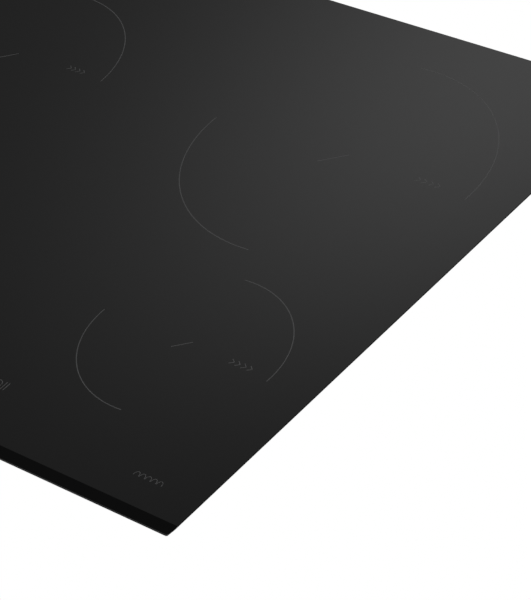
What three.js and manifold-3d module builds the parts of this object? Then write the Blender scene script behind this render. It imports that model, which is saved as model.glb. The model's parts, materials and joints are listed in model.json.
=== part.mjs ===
// Built-in electric induction cooktop with four cooking zones.
// Millimetres, +Z up. The origin is the centre of the underside; -Y faces the user.
import * as THREE from "three";
import { ConvexGeometry } from "three/addons/geometries/ConvexGeometry.js";
import { mergeVertices } from "three/addons/utils/BufferGeometryUtils.js";
import Module from "manifold-3d";

const wasm = await Module();
wasm.setup();

// ---------------------------------------------------------------- driving dimensions

const GAP = 0.3; // clearance between neighbouring pieces
const SINK = 0.2; // how far solids that are joined run into each other
const PAST = 1; // how far a cutter runs past the face it opens
const HEIGHT = 52; // underside of the box to the cooking surface

const GLASS = { width: 590, depth: 520, thickness: 4, corner: 4.5, arris: 0.4, land: 0.2, undercut: 3.4 };
const FACET = { run: 7.7, drop: 2.2, nose: 1.6, tuck: 0.2 }; // ground along the front edge
const UNDERSIDE = HEIGHT - GLASS.thickness;

const SEAL = { inset: 6.5, corner: 5, band: 9, thickness: 2.4 };
const BEAD = { inset: 18, corner: 9, band: 8, thickness: 0.8 };

const FRAME = { inset: 17, corner: 10, sheet: 1, flange: 12, floor: 33, lap: 3 };
FRAME.width = GLASS.width - 2 * FRAME.inset;
FRAME.depth = GLASS.depth - 2 * FRAME.inset;
FRAME.top = UNDERSIDE - BEAD.thickness - 2 * GAP;
const BOSS = { radius: 4.4, height: 4 }; // carries a clamp screw on the frame's ledge

const BOX = { inset: 50, corner: 12, sheet: 1.2, flange: 12, top: FRAME.floor - GAP };
BOX.width = GLASS.width - 2 * BOX.inset;
BOX.depth = GLASS.depth - 2 * BOX.inset;
const FRONT_WALL = -BOX.depth / 2;
const REAR_WALL = BOX.depth / 2;
const FLOOR_BEAD = { count: 3, width: 10, length: 330, depth: 0.5, pitch: 60, y: -100 };

const TRAY = { width: 510, depth: 456, corner: 8, sheet: 1, floor: FRAME.floor + FRAME.sheet + GAP };
const LEAD_HOLE = 2.6; // radius of the hole in the tray below each coil
const CABLE_SLOT = { width: 60, depth: 12, y: -171 };
const COIL_BASE = TRAY.floor + TRAY.sheet + GAP;

// Cooking zones; the front right one is the small zone.
const ZONES = [
  { name: "front_right", x: 186, y: -115.5, radius: 72.5, ferrites: 6 },
  { name: "rear_right", x: 150, y: 94.5, radius: 110, ferrites: 8 },
  { name: "rear_left", x: -161, y: 87, radius: 90, ferrites: 8 },
  { name: "front_left", x: -165, y: -105, radius: 80, ferrites: 8 },
];

// Heights of the layers of one coil, bottom to top.
const FERRITE = { height: 3.6, width: 10, ring: 26, bore: 20, margin: 8 };
const CARRIER = { floor: COIL_BASE + FERRITE.height + GAP, sheet: 1.5, rim: 3, top: 46.2, margin: 1 };
const HUB = { radius: 11, bore: 6.6, mouth: 3.4, cap: 1.4 };
const WINDING = { inner: 16, height: 4.3, margin: 5 };
const MICA = { sheet: 0.7, margin: 3, bore: 8 };
const SENSOR = { radius: 3, tail: 3, flange: 5.4, flangeAt: 42, flangeHeight: 1 };
const SPRING = { wire: 0.4, radius: 4.7, turns: 3.5, sides: 5, stepsPerTurn: 8 };

const CLAMPS = [
  { name: "front_right", side: 1, end: -1 },
  { name: "rear_right", side: 1, end: 1 },
  { name: "rear_left", side: -1, end: 1 },
  { name: "front_left", side: -1, end: -1 },
];
const CLAMP = { inset: 33, spread: 120, arm: 40, width: 12, thickness: 2.5, armAt: 22 };
CLAMP.x = GLASS.width / 2 - CLAMP.inset;
const CLAMP_HUB = { below: 2, above: 4 };
const CLAMP_TIP = { length: 2, hook: 3.6 };
const CLAMP_RIB = { from: 4, short: 1, width: 2, height: 1.4 };
const CLAMP_SCREW = { radius: 2, head: 3.8, headAt: 17, headHeight: 2.4, top: 37 };

const BOX_SCREW = { x: GLASS.width / 2 - 44, y: 180, radius: 1.4, head: 3.2, headHeight: 2 };
const RECESS = { width: 1, reach: 0.6, depth: 0.8 }; // cross in a screw head; reach is a share of its radius

const FANS = [
  { name: "left", x: -120, y: 112 },
  { name: "right", x: 120, y: 112 },
];
const VOLUTE = { radius: 42, growth: 7, sweep: 0.75, steps: 24, base: 3, top: 30, wall: 1.5 };
const DUCT = { width: 40, from: -58, to: -20 };
const MOTOR = { stator: 14, statorAt: 20, shaft: 1.5, shaftAt: 18.6 };
const IMPELLER = { radius: 37, plate: 1.2, blades: 13, blade: 11, bladeSheet: 1.2, bladeTurn: 35 };
IMPELLER.back = VOLUTE.top - VOLUTE.wall - 2;
const CUP = { radius: 17, wall: 2, floor: 17, sheet: 1.2 };
const SHROUD = { proud: 0.5, band: 3, z0: 5, z1: 6.4 };

const INLET = { size: 84, corner: 10, lip: 3, sheet: 1, slots: 7, slot: 6, pitch: 10.5, margin: 8 };
const EXHAUST = { width: 300, low: 6, high: 26, lip: 3, sheet: 1, slot: 8, pitch: 14, margin: 3 };

const BOARD = { z: 4, sheet: 1.6 };
BOARD.top = BOARD.z + BOARD.sheet;
const POWER_BOARD = { width: 205, depth: 215, x: 129, y: -88, foot: 3, footInset: 8 };
const BULK_CAPACITOR = { x: 58, width: 36, depth: 20, height: 21.4, rows: [-70, -42, -14] };
const RELAY = { x: -96, width: 26, depth: 24, height: 16.4, rows: [-96, -60] };
const CONNECTOR = { x: -96, width: 12, depth: 18, height: 9.4, rows: [0, 30, 60] };
const INDUCTOR = { x: 76, y: 48, radius: 17, height: 18.4 };
const HEATSINK = { width: 62, depth: 120, base: 3, height: 20, fins: 8, fin: 1.6, y: POWER_BOARD.y + 40 };

const FILTER_BOARD = { width: 118, depth: 124, x: 0, y: 134 };
const FILTER_CAPACITOR = { y: -52, width: 26, depth: 14, height: 18.4, columns: [-46, -14, 18] };
const MAINS_RELAY = { x: -50, y: 30, width: 28, depth: 24, height: 16.4 };
const FUSE = { x: 8, y: 36, width: 42, depth: 10, height: 8.4 };
const CHOKE = { x: 10, y: 132, radius: 22, bore: 10, height: 15 };

const TOUCH = { width: 226, depth: 40, corner: 3, wall: 1.5, y: -207, boardAt: 43.4 };
const TOUCH_PAD = { count: 9, pitch: 23, radius: 5 };
const TOUCH_RIB = { count: 3, pitch: 68, width: 1.6, inset: 1, below: 2 };

const TERMINAL = { x0: 160, x1: 222, z0: 4, z1: 28.4, sheet: 1.8 };
const TERMINAL_HOLE = { margin: 5, z0: 6, z1: 25 };
const TERMINAL_TAB = { width: 16, proud: 2, height: 2 };
const HINGE = { knuckle: 2, pin: 1.1, pinLength: 3, bore: 1.5, ear: 3.5, wrap: 0.6 };
// The hinge axis runs along the top of the terminal cover, just behind the rear wall.
HINGE.y = REAR_WALL + HINGE.knuckle + 0.4;
HINGE.z = TERMINAL.z1;
const TERMINAL_BLOCK = { ways: 5, pitch: 9.6, width: 50, depth: 20, behind: 10, top: 20 };
const WIRE_MOUTH = { width: 6, depth: 8, z0: 7, z1: 14 };
const SCREW_WELL = { radius: 2.6, behind: 20, z0: 13 };

const GLAND = { x: 132, z: 16, bore: 5.5, thread: 8, inside: 9, outside: 12 };
const GLAND_NUT = { radius: 10.5, inside: 5.5, outside: 5 };

// ---------------------------------------------------------------- shaping helpers

/** A closed three.js geometry as a manifold-3d solid. */
function solidOf(geometry) {
  const bare = geometry.clone();
  bare.deleteAttribute("normal");
  bare.deleteAttribute("uv");
  const merged = mergeVertices(bare, 1e-4);
  const vertProperties = merged.attributes.position.array;
  const triVerts = new Uint32Array(merged.index.array);
  return new wasm.Manifold(new wasm.Mesh({ numProp: 3, vertProperties, triVerts }));
}

/** A manifold-3d solid as a three.js geometry. */
function geometryOf(solid) {
  const { vertProperties, triVerts } = solid.getMesh();
  const geometry = new THREE.BufferGeometry();
  geometry.setAttribute("position", new THREE.BufferAttribute(vertProperties, 3));
  geometry.setIndex(new THREE.BufferAttribute(triVerts, 1));
  geometry.computeVertexNormals();
  return geometry;
}

function join(solids) {
  return solids.reduce((whole, piece) => whole.add(piece));
}

function cut(base, tools) {
  return tools.reduce((whole, tool) => whole.subtract(tool), base);
}

/** Places at an even pitch, centred on zero. */
function evenly(count, pitch) {
  return Array.from({ length: count }, (_, i) => (i - (count - 1) / 2) * pitch);
}

/** Turns, in degrees, that share out a full circle. */
function around(count) {
  return Array.from({ length: count }, (_, i) => (360 * i) / count);
}

/** A block between two opposite corners. */
function block([x0, y0, z0], [x1, y1, z1]) {
  const geometry = new THREE.BoxGeometry(x1 - x0, y1 - y0, z1 - z0);
  geometry.translate((x0 + x1) / 2, (y0 + y1) / 2, (z0 + z1) / 2);
  return solidOf(geometry);
}

/** An upright cylinder, or a prism when it has few sides. */
function disc(radius, z0, z1, { x = 0, y = 0, sides = 24 } = {}) {
  const geometry = new THREE.CylinderGeometry(radius, radius, z1 - z0, sides);
  geometry.rotateX(Math.PI / 2);
  geometry.translate(x, y, (z0 + z1) / 2);
  return solidOf(geometry);
}

function annulus(outer, inner, z0, z1) {
  return disc(outer, z0, z1).subtract(disc(inner, z0 - PAST, z1 + PAST));
}

/** A cylinder along X on the hinge axis of the terminal cover. */
function hingeRod(radius, x0, x1, sides = 12) {
  const geometry = new THREE.CylinderGeometry(radius, radius, x1 - x0, sides);
  geometry.rotateZ(Math.PI / 2);
  geometry.translate((x0 + x1) / 2, HINGE.y, HINGE.z);
  return solidOf(geometry);
}

/** A cylinder along Y on the axis of the cable gland. */
function glandRod(radius, y0, y1, sides = 16) {
  const geometry = new THREE.CylinderGeometry(radius, radius, y1 - y0, sides);
  geometry.translate(GLAND.x, (y0 + y1) / 2, GLAND.z);
  return solidOf(geometry);
}

function roundedRectangle(width, depth, corner) {
  const x = width / 2 - corner;
  const y = depth / 2 - corner;
  const outline = new THREE.Shape();
  outline.absarc(x, y, corner, 0, Math.PI / 2);
  outline.absarc(-x, y, corner, Math.PI / 2, Math.PI);
  outline.absarc(-x, -y, corner, Math.PI, 1.5 * Math.PI);
  outline.absarc(x, -y, corner, 1.5 * Math.PI, 2 * Math.PI);
  return outline;
}

function extruded(outline, z0, z1) {
  const options = { depth: z1 - z0, bevelEnabled: false, curveSegments: 2 };
  return solidOf(new THREE.ExtrudeGeometry(outline, options).translate(0, 0, z0));
}

function plate(width, depth, corner, z0, z1) {
  return extruded(roundedRectangle(width, depth, corner), z0, z1);
}

/** A rectangular ring: a plate with a band of the given width left round a hole. */
function ring(width, depth, corner, band, z0, z1) {
  const innerCorner = Math.max(corner - band, 1);
  const hole = plate(width - 2 * band, depth - 2 * band, innerCorner, z0 - PAST, z1 + PAST);
  return plate(width, depth, corner, z0, z1).subtract(hole);
}

// ---------------------------------------------------------------- finishes

function finish(color, roughness, metalness) {
  return new THREE.MeshStandardMaterial({ color, roughness, metalness });
}

const BLACK_GLASS = finish(0x0b0b0c, 0.08, 0);
const FOAM = finish(0x26262a, 0.95, 0);
const SILICONE = finish(0x1c1c1e, 0.6, 0);
const ZINC_STEEL = finish(0xa9adb0, 0.45, 1);
const ALUMINIUM = finish(0xc4c6c8, 0.4, 1);
const BLACK_PLASTIC = finish(0x1b1c1e, 0.55, 0);
const COPPER = finish(0xb86b3a, 0.4, 1);
const CARRIER_PLASTIC = finish(0xd8d2c4, 0.6, 0);
const FERRITE_GREY = finish(0x3a3b3d, 0.75, 0);
const MICA_SHEET = finish(0xb8a888, 0.5, 0);
const SENSOR_WHITE = finish(0xe8e6e0, 0.4, 0);
const SPRING_STEEL = finish(0xb8bcc0, 0.3, 1);
const CIRCUIT_BOARD = finish(0x1f5a36, 0.5, 0);
const TERMINAL_PLASTIC = finish(0xe6e2d6, 0.5, 0);

// ---------------------------------------------------------------- glass and its bonding

/** The glass: a facet and a small nose along the front, the other edges ground back underneath. */
function glassTop() {
  const { width, depth, thickness, corner, arris, land, undercut } = GLASS;
  const { drop, nose, tuck } = FACET;
  const edge = arris + land; // how far down the upright part of the side edges ends
  const steepness = undercut / (thickness - edge);
  // Each layer: how far it lies below the surface, and how far in from the sides and from the front.
  const layers = [
    { below: 0, side: arris, front: 0 },
    { below: arris, side: 0, front: 0 },
    { below: edge, side: 0, front: 0 },
    { below: drop + nose, side: (drop + nose - edge) * steepness, front: 0 },
    { below: thickness, side: undercut, front: tuck },
  ];
  const points = layers.flatMap(({ below, side, front }) => {
    const outline = roundedRectangle(width - 2 * side, depth - side - front, corner - side);
    const y = (front - side) / 2;
    return outline.getPoints(4).map((p) => new THREE.Vector3(p.x, p.y + y, HEIGHT - below));
  });
  return solidOf(new ConvexGeometry(points)).subtract(frontWedge());
}

/** What the facet takes off: a long wedge above a plane that falls towards the front edge. */
function frontWedge() {
  const { run, drop } = FACET;
  const reach = GLASS.width / 2 + PAST;
  const front = -GLASS.depth / 2;
  const slope = drop / run;
  // Each corner of its section: y, then z.
  const section = [
    [front - PAST, HEIGHT - drop - PAST * slope],
    [front + run + PAST, HEIGHT + PAST * slope],
    [front - PAST, HEIGHT + PAST * slope],
  ];
  const points = section.flatMap(([y, z]) => [
    new THREE.Vector3(-reach, y, z),
    new THREE.Vector3(reach, y, z),
  ]);
  return solidOf(new ConvexGeometry(points));
}

/** A strip that runs round under the glass: the foam seal, or the silicone bead. */
function underGlass({ inset, corner, band, thickness }) {
  const top = UNDERSIDE - GAP;
  return ring(GLASS.width - 2 * inset, GLASS.depth - 2 * inset, corner, band, top - thickness, top);
}

// ---------------------------------------------------------------- sheet-metal housing

/** The upper frame: a bonding flange, a wall, and a ledge with bosses for the clamp screws. */
function upperFrame() {
  const { width, depth, corner, sheet, flange, floor, lap, top } = FRAME;
  const ledge = BOX.inset - FRAME.inset + lap;
  const bosses = clampPlaces().map(([x, y]) =>
    disc(BOSS.radius, floor, floor + BOSS.height, { x, y, sides: 12 }),
  );
  const body = join([
    ring(width, depth, corner, sheet, floor, top),
    ring(width, depth, corner, flange, top - sheet, top),
    ring(width, depth, corner, ledge, floor, floor + sheet),
    ...bosses,
  ]);
  const clampHoles = clampPlaces().map(([x, y]) =>
    disc(CLAMP_SCREW.radius + GAP, floor - PAST, floor + BOSS.height + PAST, { x, y, sides: 12 }),
  );
  return cut(body, [...clampHoles, ...boxScrewHoles(floor, floor + sheet)]);
}

function clampPlaces() {
  return CLAMPS.map(({ side, end }) => [side * CLAMP.x, end * CLAMP.spread]);
}

function boxScrewPlaces() {
  return CLAMPS.map(({ side, end }) => [side * BOX_SCREW.x, end * BOX_SCREW.y]);
}

/** The holes for the box screws through the sheet between two heights. */
function boxScrewHoles(z0, z1) {
  const radius = BOX_SCREW.radius + GAP;
  return boxScrewPlaces().map(([x, y]) => disc(radius, z0 - PAST, z1 + PAST, { x, y, sides: 10 }));
}

/** The electronics box: an open pan with a flange, its openings, beads and hinge ears. */
function electronicsBox() {
  const { width, depth, corner, sheet, flange, top } = BOX;
  const inner = plate(width - 2 * sheet, depth - 2 * sheet, corner - sheet, sheet, top + PAST);
  const pan = plate(width, depth, corner, 0, top).subtract(inner);
  const outerWidth = width + 2 * flange;
  const outerDepth = depth + 2 * flange;
  const lip = ring(outerWidth, outerDepth, corner + flange, flange + sheet, top - sheet, top);
  const shell = join([pan, lip, ...hingeEars()]);
  return cut(shell, [
    ...inletHoles(),
    ...floorBeads(),
    ...boxScrewHoles(top - sheet, top),
    exhaustHole(),
    terminalHole(),
    hingeBore(),
    glandHole(),
  ]);
}

function inletHoles() {
  const { size, corner } = INLET;
  return FANS.map(({ x, y }) =>
    plate(size, size, corner, -PAST, BOX.sheet + PAST).translate([x, y, 0]),
  );
}

/** Shallow stiffening beads pressed into the floor. */
function floorBeads() {
  const { count, width, length, depth, pitch, y } = FLOOR_BEAD;
  const bead = plate(length, width, 0.49 * width, -PAST, depth);
  return evenly(count, pitch).map((row) => bead.translate([0, y + row, 0]));
}

function exhaustHole() {
  const { width, low, high } = EXHAUST;
  const inside = FRONT_WALL + BOX.sheet + PAST;
  return block([-width / 2, FRONT_WALL - PAST, low], [width / 2, inside, high]);
}

function terminalHole() {
  const { margin, z0, z1 } = TERMINAL_HOLE;
  const inside = REAR_WALL - BOX.sheet - PAST;
  return block([TERMINAL.x0 + margin, inside, z0], [TERMINAL.x1 - margin, REAR_WALL + PAST, z1]);
}

/** The ears at both ends of the terminal cover, which hang from the box's flange. */
function hingeEars() {
  const { knuckle, ear, wrap, y, z } = HINGE;
  const starts = [TERMINAL.x0 - GAP - ear, TERMINAL.x1 + GAP];
  const roof = BOX.top - BOX.sheet / 2;
  return starts.map((x) =>
    block([x, REAR_WALL - SINK, z - knuckle - wrap], [x + ear, y + knuckle + wrap, roof]),
  );
}

function hingeBore() {
  const reach = GAP + HINGE.ear + PAST;
  return hingeRod(HINGE.bore, TERMINAL.x0 - reach, TERMINAL.x1 + reach);
}

function glandHole() {
  return glandRod(GLAND.thread + GAP, REAR_WALL - BOX.sheet - PAST, REAR_WALL + PAST);
}

/** A slotted grille that fills an inlet hole and rests on the floor round it. */
function inletGrille() {
  const { size, corner, lip, sheet, slots, slot, pitch, margin } = INLET;
  const inside = BOX.sheet + GAP;
  const top = inside + sheet;
  const face = plate(size - 2 * GAP, size - 2 * GAP, corner, 0, top);
  const flange = plate(size + 2 * lip, size + 2 * lip, corner + lip, inside, top);
  const reach = size / 2 - margin;
  const openings = evenly(slots, pitch).map((y) =>
    block([-reach, y - slot / 2, -PAST], [reach, y + slot / 2, top + PAST]),
  );
  return cut(face.add(flange), openings);
}

/** The long grille in the front wall, where the cooling air leaves. */
function exhaustGrille() {
  const { width, low, high, lip, sheet, slot, pitch, margin } = EXHAUST;
  const half = width / 2 - GAP;
  const inside = FRONT_WALL + BOX.sheet + GAP;
  const back = inside + sheet;
  const face = block([-half, FRONT_WALL, low + GAP], [half, back, high - GAP]);
  const flange = block([-half - lip, inside, low - lip], [half + lip, back, high + lip]);
  const count = Math.floor((width - 2 * lip) / pitch);
  const openings = evenly(count, pitch).map((x) =>
    block([x - slot / 2, FRONT_WALL - PAST, low + margin], [x + slot / 2, back + PAST, high - margin]),
  );
  return cut(face.add(flange), openings);
}

/** A pan-head screw with its head down and its shank up. */
function screw({ radius, head, headHeight }, headAt, top) {
  const cap = disc(head, headAt, headAt + headHeight, { sides: 12 });
  const shank = disc(radius, headAt + headHeight - SINK, top, { sides: 8 });
  const long = head * RECESS.reach;
  const short = RECESS.width / 2;
  const roof = headAt + RECESS.depth;
  const recess = block([-short, -long, headAt - PAST], [short, long, roof]);
  const across = block([-long, -short, headAt - PAST], [long, short, roof]);
  return cut(cap.add(shank), [recess, across]);
}

// ---------------------------------------------------------------- coils and sensors

function coilTray() {
  const { width, depth, corner, sheet, floor } = TRAY;
  const z0 = floor - PAST;
  const z1 = floor + sheet + PAST;
  const leadHoles = ZONES.map(({ x, y }) => disc(LEAD_HOLE, z0, z1, { x, y, sides: 8 }));
  const halfWidth = CABLE_SLOT.width / 2;
  const halfDepth = CABLE_SLOT.depth / 2;
  const { y } = CABLE_SLOT;
  const cableSlot = block([-halfWidth, y - halfDepth, z0], [halfWidth, y + halfDepth, z1]);
  return cut(plate(width, depth, corner, floor, floor + sheet), [...leadHoles, cableSlot]);
}

/** Ferrite bars that run out from a ring, under the winding. */
function ferriteStar({ radius, ferrites }) {
  const { height, width, ring: outer, bore, margin } = FERRITE;
  const top = COIL_BASE + height;
  const root = (bore + outer) / 2;
  const bar = block([root, -width / 2, COIL_BASE], [radius - margin, width / 2, top]);
  const half = 180 / ferrites; // the bars start half a step round
  const bars = around(ferrites).map((turn) => bar.rotate([0, 0, turn + half]));
  return cut(join([disc(outer, COIL_BASE, top), ...bars]), [disc(bore, COIL_BASE - PAST, top + PAST)]);
}

/** The dish that holds the winding, with the hub that guides the sensor. */
function coilCarrier({ radius }) {
  const { floor, sheet, rim, top, margin } = CARRIER;
  const outer = radius - margin;
  const dish = disc(outer, floor, floor + sheet);
  const wall = annulus(outer, outer - sheet, floor, floor + rim);
  const hub = disc(HUB.radius, COIL_BASE, top, { sides: 12 });
  const bore = disc(HUB.bore, COIL_BASE - PAST, top - HUB.cap, { sides: 12 });
  const mouth = disc(HUB.mouth, COIL_BASE, top + PAST, { sides: 10 });
  return cut(join([dish, wall, hub]), [bore, mouth]);
}

/** The flat litz winding. */
function winding({ radius }) {
  const z0 = CARRIER.floor + CARRIER.sheet + GAP;
  return annulus(radius - WINDING.margin, WINDING.inner, z0, z0 + WINDING.height);
}

function micaSheet({ radius }) {
  const z0 = CARRIER.top + GAP;
  return annulus(radius + MICA.margin, MICA.bore, z0, z0 + MICA.sheet);
}

/** The sensor's stem, pushed against the glass, with the flange that its spring lifts. */
function sensorPlunger() {
  const { radius, tail, flange, flangeAt, flangeHeight } = SENSOR;
  const stem = disc(radius, flangeAt - tail, UNDERSIDE - GAP, { sides: 10 });
  return stem.add(disc(flange, flangeAt, flangeAt + flangeHeight, { sides: 10 }));
}

class Helix extends THREE.Curve {
  constructor(radius, z0, z1, turns) {
    super();
    Object.assign(this, { radius, z0, z1, turns });
  }
  getPoint(t, target = new THREE.Vector3()) {
    const angle = 2 * Math.PI * this.turns * t;
    const z = THREE.MathUtils.lerp(this.z0, this.z1, t);
    return target.set(this.radius * Math.cos(angle), this.radius * Math.sin(angle), z);
  }
}

function sensorSpring() {
  const { wire, radius, turns, sides, stepsPerTurn } = SPRING;
  const z0 = COIL_BASE + wire;
  const z1 = SENSOR.flangeAt - GAP - wire;
  const section = around(sides).map((turn) => {
    const angle = THREE.MathUtils.degToRad(turn);
    return new THREE.Vector2(wire * Math.cos(angle), wire * Math.sin(angle));
  });
  const extrudePath = new Helix(radius, z0, z1, turns);
  const options = { steps: turns * stepsPerTurn, extrudePath, bevelEnabled: false };
  return solidOf(new THREE.ExtrudeGeometry(new THREE.Shape(section), options));
}

// ---------------------------------------------------------------- electronics

function board({ width, depth }) {
  return block([-width / 2, -depth / 2, BOARD.z], [width / 2, depth / 2, BOARD.top]);
}

/** A box-shaped component that stands on a board, from its corner nearest -X and -Y. */
function component({ width, depth, height }, x, y) {
  return block([x, y, BOARD.top - SINK], [x + width, y + depth, BOARD.top + height]);
}

/** A power board with its components and feet; its own +X points away from the hob's middle. */
function powerBoard(side) {
  const { width, depth, x, y, foot, footInset } = POWER_BOARD;
  const blocks = [BULK_CAPACITOR, RELAY, CONNECTOR].flatMap((kind) =>
    kind.rows.map((row) => component(kind, kind.x, row)),
  );
  const { radius, height } = INDUCTOR;
  const coil = disc(radius, BOARD.top - SINK, BOARD.top + height, { ...INDUCTOR, sides: 20 });
  const feet = CLAMPS.map((corner) => {
    const place = { x: corner.side * (width / 2 - footInset), y: corner.end * (depth / 2 - footInset) };
    return disc(foot, BOX.sheet + GAP, BOARD.z + SINK, { ...place, sides: 6 });
  });
  const whole = join([board(POWER_BOARD), ...blocks, coil, ...feet]);
  const turned = side < 0 ? whole.rotate([0, 0, 180]) : whole;
  return turned.translate([side * x, y, 0]);
}

/** An extruded heatsink whose fins run along the air flow. */
function heatsink() {
  const { width, depth, base, height, fins, fin } = HEATSINK;
  const z0 = BOARD.top + GAP;
  const foot = block([-width / 2, -depth / 2, z0], [width / 2, depth / 2, z0 + base]);
  const blades = evenly(fins, (width - fin) / (fins - 1)).map((x) =>
    block([x - fin / 2, -depth / 2, z0 + base - SINK], [x + fin / 2, depth / 2, z0 + height]),
  );
  return join([foot, ...blades]);
}

function filterBoard() {
  const capacitors = FILTER_CAPACITOR.columns.map((x) =>
    component(FILTER_CAPACITOR, x, FILTER_CAPACITOR.y),
  );
  const relay = component(MAINS_RELAY, MAINS_RELAY.x, MAINS_RELAY.y);
  const fuse = component(FUSE, FUSE.x, FUSE.y);
  return join([board(FILTER_BOARD), ...capacitors, relay, fuse]);
}

/** The filter's ring core. */
function filterChoke() {
  const z0 = BOARD.top + GAP;
  return annulus(CHOKE.radius, CHOKE.bore, z0, z0 + CHOKE.height);
}

// ---------------------------------------------------------------- fans

/** The volute grows with the angle; its outline is offset inwards by the wall for the air space. */
function voluteOutline(offset) {
  const { growth, sweep, steps } = VOLUTE;
  const start = VOLUTE.radius - offset;
  const outline = new THREE.Shape();
  outline.moveTo(-start, 0);
  for (let i = 1; i <= steps; i += 1) {
    const turn = i / steps;
    const angle = Math.PI - 2 * Math.PI * sweep * turn;
    const radius = start + growth * turn;
    outline.lineTo(radius * Math.cos(angle), radius * Math.sin(angle));
  }
  outline.lineTo(-start, -start - growth);
  return outline;
}

/** A radial fan's housing: volute wall, roof, and the motor's stator with its shaft. */
function fanVolute() {
  const { radius, base, top, wall } = VOLUTE;
  const { width, from, to } = DUCT;
  const roof = top - wall;
  const shell = extruded(voluteOutline(0), base, top);
  const duct = block([-radius, from, base], [width - radius, to, top]);
  const air = extruded(voluteOutline(wall), base - PAST, roof);
  const ductAir = block([wall - radius, from - PAST, base - PAST], [width - radius - wall, to, roof]);
  const stator = disc(MOTOR.stator, MOTOR.statorAt, roof + SINK, { sides: 20 });
  const shaft = disc(MOTOR.shaft, MOTOR.shaftAt, MOTOR.statorAt + SINK, { sides: 10 });
  return join([cut(shell.add(duct), [air, ductAir]), stator, shaft]);
}

/** The impeller: a cup over the stator, a back plate, forward-curved blades and a shroud ring. */
function impeller() {
  const { radius, plate: plateSheet, blades, blade, bladeSheet, bladeTurn, back } = IMPELLER;
  const inner = CUP.radius - CUP.wall;
  const hollow = disc(inner, CUP.floor + CUP.sheet, back + PAST);
  const cup = disc(CUP.radius, CUP.floor, back).subtract(hollow);
  const plateRing = annulus(radius, CUP.radius - PAST, back - plateSheet, back);
  const rim = radius + SHROUD.proud;
  const shroud = annulus(rim, rim - SHROUD.band, SHROUD.z0, SHROUD.z1);
  const half = bladeSheet / 2;
  const blank = block([-blade / 2, -half, SHROUD.z0 + SINK], [blade / 2, half, back - SINK]);
  const vane = blank.rotate([0, 0, bladeTurn]).translate([radius - blade / 2, 0, 0]);
  const vanes = around(blades).map((turn) => vane.rotate([0, 0, turn]));
  return join([cup, plateRing, shroud, ...vanes]);
}

// ---------------------------------------------------------------- controls and mains

/** The open box that carries the touch board under the glass. */
function touchHolder() {
  const { width, depth, corner, wall, boardAt } = TOUCH;
  const floor = block([-width / 2, -depth / 2, COIL_BASE], [width / 2, depth / 2, COIL_BASE + wall]);
  const sides = ring(width, depth, corner, wall, COIL_BASE, boardAt - GAP);
  const halfWidth = TOUCH_RIB.width / 2;
  const halfDepth = depth / 2 - TOUCH_RIB.inset;
  const top = boardAt - TOUCH_RIB.below;
  const ribs = evenly(TOUCH_RIB.count, TOUCH_RIB.pitch).map((x) =>
    block([x - halfWidth, -halfDepth, COIL_BASE], [x + halfWidth, halfDepth, top]),
  );
  return join([floor, sides, ...ribs]);
}

/** The touch board with the spring pads that reach the glass. */
function touchBoard() {
  const { width, depth, boardAt } = TOUCH;
  const { count, pitch, radius } = TOUCH_PAD;
  const top = boardAt + BOARD.sheet;
  const sheet = block([-width / 2, -depth / 2, boardAt], [width / 2, depth / 2, top]);
  const pads = evenly(count, pitch).map((x) =>
    disc(radius, top - SINK, UNDERSIDE - GAP, { x, sides: 8 }),
  );
  return join([sheet, ...pads]);
}

/** The terminal block: a body with a wire mouth and a screw well for each way. */
function terminalBlock() {
  const { ways, pitch, width, depth, behind, top } = TERMINAL_BLOCK;
  const middle = (TERMINAL.x0 + TERMINAL.x1) / 2;
  const face = REAR_WALL - behind;
  const floor = BOX.sheet + GAP;
  const body = block([middle - width / 2, face - depth, floor], [middle + width / 2, face, top]);
  const holes = evenly(ways, pitch).map((place) => {
    const x = middle + place;
    const half = WIRE_MOUTH.width / 2;
    const { z0, z1 } = WIRE_MOUTH;
    const mouth = block([x - half, face - WIRE_MOUTH.depth, z0], [x + half, face + PAST, z1]);
    const y = REAR_WALL - SCREW_WELL.behind;
    return mouth.add(disc(SCREW_WELL.radius, SCREW_WELL.z0, top + PAST, { x, y, sides: 8 }));
  });
  return cut(body, holes);
}

/** The cover over the terminal opening, hinged along its top edge, with a tab to lift it by. */
function terminalCover() {
  const { x0, x1, z0, z1, sheet } = TERMINAL;
  const inner = REAR_WALL + GAP + SINK;
  const outer = inner + sheet;
  const middle = (x0 + x1) / 2;
  const half = TERMINAL_TAB.width / 2;
  const tabTop = z0 + TERMINAL_TAB.height;
  const panel = block([x0, inner, z0], [x1, outer, z1]);
  const tab = block([middle - half, outer - SINK, z0], [middle + half, outer + TERMINAL_TAB.proud, tabTop]);
  const barrel = hingeRod(HINGE.knuckle, x0, x1, 16);
  const pins = hingeRod(HINGE.pin, x0 - HINGE.pinLength, x1 + HINGE.pinLength);
  return join([panel, tab, barrel, pins]);
}

/** The cable gland: a threaded body through the wall, with a hexagon nut on each side of it. */
function cableGland() {
  const { bore, thread, inside, outside } = GLAND;
  const nut = GLAND_NUT.radius;
  const wallInside = REAR_WALL - BOX.sheet - GAP;
  const wallOutside = REAR_WALL + GAP;
  const body = glandRod(thread, REAR_WALL - inside, REAR_WALL + outside);
  const innerNut = glandRod(nut, REAR_WALL - GLAND_NUT.inside, wallInside, 6);
  const outerNut = glandRod(nut, wallOutside, REAR_WALL + GLAND_NUT.outside, 6);
  const way = glandRod(bore, REAR_WALL - inside - PAST, REAR_WALL + outside + PAST);
  return cut(join([body, innerNut, outerNut]), [way]);
}

// ---------------------------------------------------------------- worktop clamps

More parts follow.
